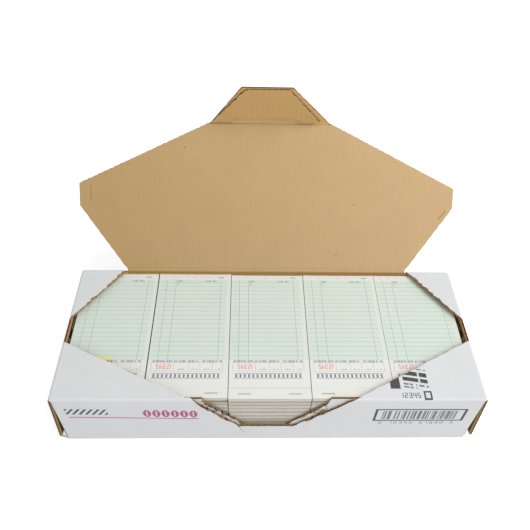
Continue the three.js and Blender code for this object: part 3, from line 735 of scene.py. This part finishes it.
# Lower pads: fifty-leaf pads with a chipboard back, stacked ten high in five stacks. Their edges are
# cut in one go, yet every few leaves stand out or back by a hair, and each pad sits a little askew.
pad_width, pad_length, pad_step, pad_pitch = 88.9, 171.45, 7.85, 89.5
backing, pads_base, pads_front = 0.9, 2.9, -84.825
lower_pads = 9
stack_names = ("stack_1", "stack_2", "centre", "stack_4", "stack_5")
stack_back = (1.0, 1.1, 0.0, 0.3, 0.2)
stack_middle = [(k - 2) * pad_pitch + aside for k, aside in enumerate((-0.7, 0, 0, 0, -0.2))]


def paper_edges():
    """Edges of the leaves: fine level lines in white, grey and canary, and the tan line of each back."""
    paint = Paint("paper edges", 0.85, **{"Specular IOR Level": 0.2})
    level = (paint.z - pads_base) % pad_step
    wander = paint.noise(30, 1.0, (1, 1, 0.05)) * 0.25
    fine = (level + wander).chance(0.16, 3)
    broad = (level + wander).chance(0.7, 9)
    pad = (paint.z - pads_base).chance(pad_step, 4)
    colour = paint.mix(shade(160, 158, 152), shade(238, 237, 232), fine * 0.45 + broad * 0.3 + pad * 0.25)
    colour = paint.mix(colour, shade(214, 198, 140), (fine > 0.8) * 0.5)
    back = level < backing
    colour = paint.mix(colour, paint.mix(shade(150, 132, 104), shade(186, 168, 138), fine), back)
    paint.relief(fine, 0.4, 0.1)
    return paint.done(colour)


edge_paper = paper_edges()


def tube(rings, first, last):
    """A closed body through a row of rings of points, with both end rings drawn in to a point."""
    caps = [np.broadcast_to(point, rings[:1].shape) for point in (first, last)]
    rows = np.concatenate([caps[0], rings, caps[1]])
    index = np.arange(rows.shape[0] * rows.shape[1]).reshape(rows.shape[:2])
    index = np.concatenate([index, index[:, :1]], 1)
    faces = np.stack([index[:-1, :-1], index[:-1, 1:], index[1:, 1:], index[1:, :-1]], -1).reshape(-1, 4)
    return closed(rows.reshape(-1, 3), faces)


def block(x_middle, front, bottom, levels, insets, seed):
    """A stack of leaves: a rectangle carried up through levels, pulled in by an inset at each, and
    closed at both ends. A point is corner line * (half size - inset) + small waves along the line."""
    ring = np.linspace(0, 4, 65)[:-1]
    corner = np.array([[-1, -1], [1, -1], [1, 1], [-1, 1], [-1, -1]], float)
    line = np.stack([np.interp(ring, range(5), corner[:, i]) for i in range(2)], 1)
    size = np.array([pad_width, pad_length]) / 2
    rng = np.random.default_rng(seed)
    lift = bottom + np.asarray(levels)
    waves = rng.uniform(0, 0.12, (len(levels), len(ring)))
    half = size[None, None, :] - (np.asarray(insets)[:, None] + waves)[..., None]
    middle = np.array([x_middle, front + pad_length / 2])
    flat = middle + line[None] * half
    points = np.concatenate([flat, np.broadcast_to(lift[:, None, None], flat.shape[:2] + (1,))], -1)
    return tube(points, [*middle, lift[0]], [*middle, lift[-1]])


def leaf_levels(low, high, rng):
    """Levels and insets of one pad's layers: each layer is level, with its own small inset."""
    edges = np.linspace(low, high, int((high - low) / 0.5) + 1)
    inset = rng.uniform(0, 0.32, len(edges) - 1)
    return np.repeat(edges, 2)[1:-1], np.repeat(inset, 2)


def whole_pad(x_middle, k, seed, back=0.0):
    """One pad of a stack: its back, a shadow groove, and its leaves."""
    rng = np.random.default_rng(seed)
    levels, insets = leaf_levels(backing + 0.12, pad_step - 0.1, rng)
    levels = np.concatenate([[0, backing, backing], levels])
    insets = np.concatenate([[0.1, 0.1, 0.5], insets])
    front = pads_front + 0.05 + min(0.8, 1.3 - back) * (0.5 + 0.5 * np.sin(2.3 * k)) + back
    return block(x_middle, front, pads_base + k * pad_step, levels, insets, seed)


for stack, middle in enumerate(stack_middle):
    if stack == 2:
        for k in range(lower_pads):
            piece(f"centre_stack_pad_{k + 1}", [(whole_pad(middle, k, 100 + k), edge_paper)], "carton",
                  (f"centre_pad_{k + 1}",))
    else:
        parts = [(whole_pad(middle, k, 120 + 10 * stack + k, stack_back[stack]), edge_paper)
                 for k in range(lower_pads)]
        piece(f"stack_{stack + 1}_pads", parts, "carton", (f"stack_{stack + 1}_lower_pads",))


# Top pad of each stack: a chipboard back, white-green leaves printed in blue and red over canary
# copies, a perforation, and a plain stub at the front that two staples hold.
stub, leaf, top_height = 12.7, 0.25, 7.7
top_base = pads_base + lower_pads * pad_step
top_level = top_base + top_height
blue_ink, red_ink, line_ink = shade(86, 92, 148), shade(220, 92, 96), shade(142, 160, 164)
title_ink = shade(66, 74, 110)


def check_print(name, field, margin, ink, lines):
    """A check's print, in millimetres from the pad's left side and front edge. It reads from the rear:
    ruled lines across a tinted field with three upright rules, a row of boxes with a red number, a
    chain of equal rings in place of the title, and dashes in place of words."""
    paint = Paint(name, 0.62, **{"Specular IOR Level": 0.3})
    u = (paint.x + pad_pitch / 2) % pad_pitch - (pad_pitch - pad_width) / 2
    v = paint.y - pads_front
    fibre = paint.noise(0.7, 2.0)
    cloud = paint.noise(24, 1.0)
    paint.relief(fibre * 0.3 + cloud, 0.15, 0.2)
    field_start, box_start, box_end = 47.6, 33.6, 44.6
    in_field = v.between(field_start, 164)
    tint = in_field * (0.86 + 0.3 * (cloud - 0.5)) * (1 - (u > 84) * 0.45)
    paper = paint.mix(margin, field, tint)
    inner = u.between(2.4, 83.6)
    ruled = v.lines(field_start, 6.23, 0.55) * in_field * inner
    upright = reduce(Wire.either, [u.line(at, 0.5) for at in (10.2, 21.2, 76.6)]) * in_field
    sides = reduce(Wire.either, [u.line(at, 0.4) for at in (4.2, 29, 44.8, 57.4, 70.8, 82.4)])
    boxes = v.line(box_start, 0.4).either(v.line(box_end, 0.4)) * inner
    boxes = boxes.either(sides * v.between(box_start, box_end))
    thin = (ruled * 0.7).either(upright).either(boxes * 0.9)

    # Words are dashes: random cells of one letter's width, kept on spans of a line. Each line gives its
    # low and high edge, its spans, a letter's width, a seed, the share of blank cells and a strength.
    lines_of_words = (
        (45, 47.4, ((5, 27), (28.6, 42), (44, 55.6), (58, 73), (74, 81.6)), 0.55, 5, 0.22, 1.0),
        (35.2, 36.8, ((33.5, 40.5), (47.5, 55), (61, 67.5), (74.5, 80)), 0.5, 8, 0.3, 0.6),
        (166.8, 168.2, ((5, 9.5), (12, 46), (51, 67)), 0.6, 2, 0.45, 0.45),
        (166.6, 168.5, ((73, 79.6),), 0.6, 6, 0.25, 0.9),
        (160.6, 163, ((22, 29.6), (56.5, 72)), 0.6, 4, 0.25, 0.9),
        (156.4, 158.2, ((22, 26.4),), 0.6, 9, 0.25, 0.72),
        (7.2, 8.4, ((81.4, 83),), 0.6, 1, 0.1, 0.36))
    words = []
    for low, high, spans, letter, seed, blank, strength in lines_of_words:
        inside = reduce(Wire.either, [u.between(*span) for span in spans])
        words.append(v.between(low, high) * inside * (u.chance(letter, seed) > blank) * strength)

    # The chain is two rows of rings, half a ring pitch apart; a ring's wall is thicker at its sides.
    ring_pitch, ring_radius, ring_row = 9.32, 3.45, 27.75
    rings = []
    for first in (10.4, 15.06):
        across = (u - first + ring_pitch / 2) % ring_pitch - ring_pitch / 2
        middle = v - ring_row
        far = across * across + middle * middle
        far = far.math("SQRT", far)
        wall = 0.45 + abs(across) * 0.24
        rings.append((far < ring_radius) * (far > ring_radius - wall))
    title = reduce(Wire.either, rings) * u.between(5.8, 80)
    number = digits(27.6 - u, 42.8 - v, 0.0, 3.85, (2.7, 6.6), "12345")
    # Painted shade: the perforation's slits are drawn as pale blue-grey dashes.
    punched = v.line(stub, 0.55) * (u % 1.6 < 1.0)
    aside, along = paint.x + 125.3, paint.y - 62.9
    speck = (aside * aside + along * along) < 0.8
    colour = paper
    for tone, share in ((lines, thin * 0.8), (ink, reduce(Wire.either, words) * 0.62), (title_ink, title * 0.8),
                        (red_ink, number * 0.75), (shade(150, 118, 84), speck * 0.7)):
        colour = paint.mix(colour, tone, share)
    return paint.done(colour, shade(196, 196, 214), punched * 0.7)


white_margin = shade(224, 225, 220)
check_paper = check_print("green check", shade(205, 219, 207), white_margin, blue_ink, line_ink)
copy_paper = check_print("canary copy", shade(232, 222, 146), shade(236, 228, 158), blue_ink, line_ink)


def leaf_sheet(x_middle, start, end, level, seed, lift=0.0, thickness=leaf, waves=1.0):
    """A printed leaf: a thin sheet from start to end of the pad's length, with slow ripples, and a
    far end that springs up: height = waves * ripple + lift * (0.85 + 0.15 * (x/half)^4) * (y/length)^5."""
    rng = np.random.default_rng(seed)
    x, y = np.meshgrid(np.linspace(-1, 1, 25), np.linspace(0, 1, 41), indexing="ij")
    phase = rng.uniform(0, 6.28, 3)
    ripple = 0.05 * np.sin(3.1 * x + phase[0]) * np.sin(6.3 * y + phase[1]) + 0.03 * np.sin(11 * y + phase[2])
    rise = level - 0.09 + waves * ripple + lift * (0.85 + 0.15 * x ** 4) * y ** 5
    flat = [x_middle + x * (pad_width / 2 - 0.05), pads_front + start + y * (end - start)]
    return shell(np.stack([*flat, rise], -1), np.stack([*flat, rise - thickness], -1))


for stack, (name, middle, back) in enumerate(zip(stack_names, stack_middle, stack_back)):
    body = "centre_pad" if stack == 2 else "carton"
    rng = np.random.default_rng(200 + stack)
    drop = 0.8 if stack == 2 else leaf + 0.1
    levels, insets = leaf_levels(0.12, top_height - backing - drop, rng)
    leaves = (block(middle, pads_front + back, top_base + backing, levels, insets, 210 + stack), edge_paper)
    if stack == 2:
        parts = [leaves, (leaf_sheet(middle, 0, pad_length, top_level - drop + leaf + 0.05, 230), check_paper)]
        parts.append((leaf_sheet(middle, 0, stub - 0.3, top_level, 231, 0.0, 0.6), check_paper))
    else:
        parts = [leaves, (leaf_sheet(middle, back, pad_length + back, top_level, 220 + stack, 2.1), check_paper)]
    piece(f"{name}_printed_leaves", parts, body, (f"{name}_top_pad_sheets",))

# The next pad down in the centre stack shows its own first check when the top pad is taken out.
piece("centre_next_check", [(leaf_sheet(0, 0.4, pad_length - 0.4, top_base + 0.06, 232, 0.0, 0.2, 0.0), check_paper)],
      "carton", ())
# A loose slip of canary paper lies by the torn edge of the left front corner.
slip = np.array([[(-192, -33, 81.5), (-189.3, -31.4, 81.7)], [(-184, -39, 81.5), (-181, -33.8, 81.9)],
                 [(-176, -42, 81.5), (-171.4, -35.8, 81.8)]])
piece("canary_slip", [(shell(slip, slip - (0, 0, 0.15)), copy_paper)], "carton", ())
piece("green_check_leaf", [(leaf_sheet(0, stub + 0.2, pad_length, top_level, 240, 1.9), check_paper)],
      "check_leaf", ("centre_check_leaf",))
piece("canary_check_leaf", [(leaf_sheet(0, stub + 0.2, pad_length, top_level - 0.32, 241, 1.7), copy_paper)],
      "duplicate_leaf", ("centre_duplicate_leaf",))


def chipboard():
    """Grey-brown board pressed from waste paper, with darker and paler flecks."""
    paint = Paint("chipboard", 0.9)
    fleck = paint.noise(0.8, 3.0)
    paint.relief(fleck, 0.4, 0.15)
    return paint.done(paint.mix(shade(120, 106, 84), shade(172, 156, 126), fleck))


chip = chipboard()
for name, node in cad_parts.items():
    if name.endswith("_backing_board"):
        for slot in node.material_slots:
            slot.material = chip


# Staples: flattened steel wire, driven down through the stub with rounded shoulders, and its two ends
# bent in flat under the back.
staple_crown, staple_foot, staple_bend = 14.0, 4.6, 0.75
staple_edge, staple_side = 5.6, 17.4


def steel():
    """Drawn wire: grey metal with fine streaks along its length."""
    paint = Paint("staple wire", 0.42, Metallic=0.9)
    streak = paint.noise(0.25, 2.0, (8, 1, 1))
    paint.relief(streak, 0.2, 0.02)
    return paint.done(paint.mix(shade(92, 94, 92), shade(132, 134, 132), streak))


wire_steel = steel()


def staple(x_middle, back):
    """A rounded flat section, 0.5 by 0.44 mm, carried along the staple's path and closed at its ends.
    Ring = middle line + cos * half width * across + sin * half thickness * normal."""
    half, tip = staple_crown / 2, staple_crown / 2 - staple_foot
    low, high = top_base + 0.3, top_level + 0.28
    path = fold_path("XZ", [(-tip, low), (-half, low), (-half, high), (half, high), (half, low), (tip, low)],
                     [staple_bend] * 4, (0, high + 50), 5)
    points = path[0] + np.array([x_middle, pads_front + staple_edge + back, 0])
    turn = np.linspace(0, 2 * np.pi, 13)[None, :-1, None]
    ring = np.cos(turn) * 0.25 * np.array([0, 1.0, 0]) + np.sin(turn) * 0.22 * path[1][:, None]
    return tube(points[:, None] + ring, points[0], points[-1])


for name, middle, back in zip(stack_names, stack_middle, stack_back):
    for word, side in (("left", -1), ("right", 1)):
        wire = staple(middle + side * (pad_width / 2 - staple_side), back)
        piece(f"{name}_{word}_wire_staple", [(wire, wire_steel)], "centre_pad" if name == "centre" else "carton",
              (f"{name}_top_pad_{word}_staple",), 50)


# Floor: a pale table under the carton. It glows a little for the camera alone, so that the light that
# falls on it is white and the shadows on it stay.
def table_top():
    paint = Paint("pale table", 0.9)
    grain = paint.noise(6, 2.0)
    colour = paint.mix(shade(243, 243, 243), shade(247, 247, 247), grain)
    material = paint.done(colour)
    ray = paint.node("ShaderNodeLightPath")
    seen = ray.either(Wire(paint, ray.socket.node.outputs["Is Glossy Ray"]))
    glow = paint.node("ShaderNodeEmission", {}, {"Color": (1, 1, 1, 1), "Strength": 0.45})
    both = paint.node("ShaderNodeAddShader", {}, (Wire(paint, paint.shader.outputs[0]), glow))
    pick = paint.node("ShaderNodeMixShader", {}, (seen, Wire(paint, paint.shader.outputs[0]), both))
    paint.plug(paint.tree.nodes["Material Output"], {"Surface": pick})
    return material


table = bpy.data.meshes.new("table")
span = 6.0
table.from_pydata([(-span, -span, 0), (span, -span, 0), (span, span, 0), (-span, span, 0)], [], [(0, 1, 2, 3)])
table.materials.append(table_top())
floor = bpy.data.objects.new("table", table)
bpy.context.scene.collection.objects.link(floor)


# Light: a large soft lamp above and in front, and an even white sky.
def lamp(name, place, aim, size, power):
    data = bpy.data.lights.new(name, "AREA")
    data.shape, data.size, data.energy = "DISK", size, power
    obj = bpy.data.objects.new(name, data)
    turned = (Vector(aim) - Vector(place)).to_track_quat("-Z", "Y").to_matrix().to_4x4()
    obj.matrix_world = Matrix.Translation(place) @ turned
    bpy.context.scene.collection.objects.link(obj)


lamp("key", (1.15, -0.5, 1.8), (0, 0, 0.05), 1.6, 30)
lamp("fill", (-0.3, -1.7, 1.1), (0, 0, 0.1), 1.5, 4)
world = bpy.data.worlds.new("studio")
world.use_nodes = True
bpy.context.scene.world = world
sky = world.node_tree
sky_light = 0.55  # on the object; to the camera and in reflections the sky is 1, pure white
background, path = sky.nodes["Background"], sky.nodes.new("ShaderNodeLightPath")
bright, level = sky.nodes.new("ShaderNodeMath"), sky.nodes.new("ShaderNodeMath")
bright.operation, level.operation = "MAXIMUM", "MULTIPLY_ADD"
level.inputs[1].default_value, level.inputs[2].default_value = 1 - sky_light, sky_light
background.inputs["Color"].default_value = (1, 1, 1, 1)
for start, end in (
        (path.outputs["Is Camera Ray"], bright.inputs[0]), (path.outputs["Is Glossy Ray"], bright.inputs[1]),
        (bright.outputs[0], level.inputs[0]), (level.outputs[0], background.inputs["Strength"])):
    sky.links.new(start, end)

# Camera: where the photograph was taken from, above the carton's front and looking down on it.
pitch, yaw, roll = np.radians([47.686, -2.688, 2.358])
looking = np.array([[1, 0, 0], [0, -np.sin(pitch), -np.cos(pitch)], [0, np.cos(pitch), -np.sin(pitch)]])
turning = np.array([[np.cos(yaw), np.sin(yaw), 0], [-np.sin(yaw), np.cos(yaw), 0], [0, 0, 1]])
tilting = np.array([[np.cos(roll), -np.sin(roll), 0], [np.sin(roll), np.cos(roll), 0], [0, 0, 1]])
right, down, forward = tilting @ looking @ turning
pose = np.eye(4)
pose[:3, :3] = np.stack([right, -down, -forward], 1)
pose[:3, 3] = (-0.02519, -0.38058, 0.61632)
eye = bpy.data.cameras.new("camera")
sensor, focal_pixels, picture_pixels = 36, 563.81, 530
eye.sensor_width, eye.lens = sensor, focal_pixels / picture_pixels * sensor
eye.clip_start, eye.clip_end = 0.01, 50
camera = bpy.data.objects.new("camera", eye)
bpy.context.scene.collection.objects.link(camera)
camera.matrix_world = Matrix(pose.tolist())
bpy.context.scene.camera = camera
bpy.context.scene.view_settings.view_transform = "Standard"
